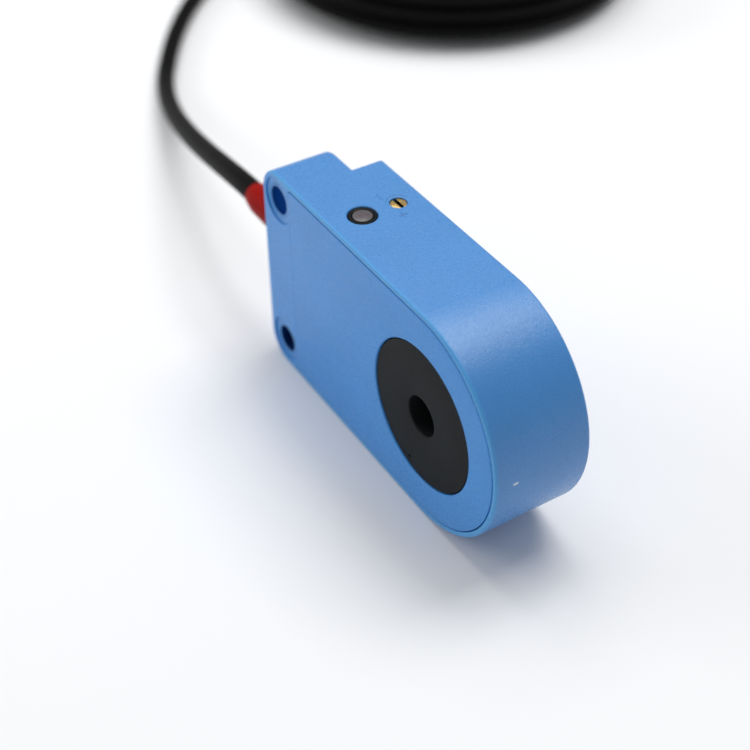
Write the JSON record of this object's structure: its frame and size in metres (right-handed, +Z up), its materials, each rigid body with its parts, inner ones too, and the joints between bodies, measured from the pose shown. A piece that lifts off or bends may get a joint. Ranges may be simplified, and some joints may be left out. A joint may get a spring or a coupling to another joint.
{
  "type": "ring proximity sensor",
  "caption": "Inductive ring sensor: flat moulded case with a round end and a target bore, thinner fixing ear, status lens, brass adjusting screw and a coiled cable.",
  "frame": {"origin": "middle of the ear's rear mounting face, between the two fixing holes", "axes": "+X from the cable end to the ring, +Y from the front cover to the back, +Z up to the face with the lens and the adjusting screw"},
  "size_m": [0.2035, 0.1442, 0.035],
  "materials": {
    "blue_plastic": "fine-grained moulded",
    "black_plastic": "matte moulded",
    "cable_black": "matte extruded",
    "red_rubber": "satin moulded",
    "smoked_lens": "smoked translucent",
    "brass": "turned",
    "copper": "enamelled copper wire",
    "tin": "tinned copper",
    "ferrite": "sintered",
    "nylon": "natural nylon",
    "board_green": "solder mask",
    "chip_black": "moulded epoxy",
    "capacitor_tan": "ceramic",
    "tantalum_yellow": "moulded",
    "diode_glass": "glass",
    "trimmer_blue": "moulded",
    "led_epoxy": "tinted epoxy",
    "seal_rubber": "matte",
    "brown_pvc": "extruded",
    "blue_pvc": "extruded",
    "black_pvc": "extruded"
  },
  "bodies": {
    "sensor": {"housing": "blue_plastic", "front_cover": "blue_plastic", "ring_bush": "black_plastic", "coil_bobbin": "nylon", "coil_winding": "copper", "ferrite_ring": "ferrite", "coil_lead_start": "copper", "coil_lead_end": "copper", "circuit_board": "board_green", "oscillator_ic": "chip_black", "comparator_ic": "chip_black", "output_transistor": "chip_black", "reverse_diode": "diode_glass", "surge_diode": "diode_glass", "tank_capacitor": "capacitor_tan", "supply_capacitor": "tantalum_yellow", "resistor_1": "chip_black", "resistor_2": "chip_black", "resistor_3": "chip_black", "resistor_4": "chip_black", "indicator_led": "led_epoxy", "led_lead_anode": "tin", "led_lead_cathode": "tin", "led_bezel": "black_plastic", "led_lens": "smoked_lens", "trimmer_body": "trimmer_blue", "screw_seal": "seal_rubber", "cable_gland": "red_rubber", "cable_clip": "nylon", "cable_jacket": "cable_black", "wire_brown": "brown_pvc", "wire_blue": "blue_pvc", "wire_black": "black_pvc", "tail_brown": "brown_pvc", "tail_blue": "blue_pvc", "tail_black": "black_pvc", "tinned_end_brown": "tin", "tinned_end_blue": "tin", "tinned_end_black": "tin"},
    "adjuster": {"adjustment_screw": "brass", "trimmer_rotor": "nylon"}
  },
  "joints": [
    {"name": "adjuster_turn", "type": "hinge", "parent": "sensor", "child": "adjuster", "pos_m": [0.01525, 0.00105, 0.0171], "axis": [0, 0, 1], "range_deg": [-135, 135]}
  ]
}
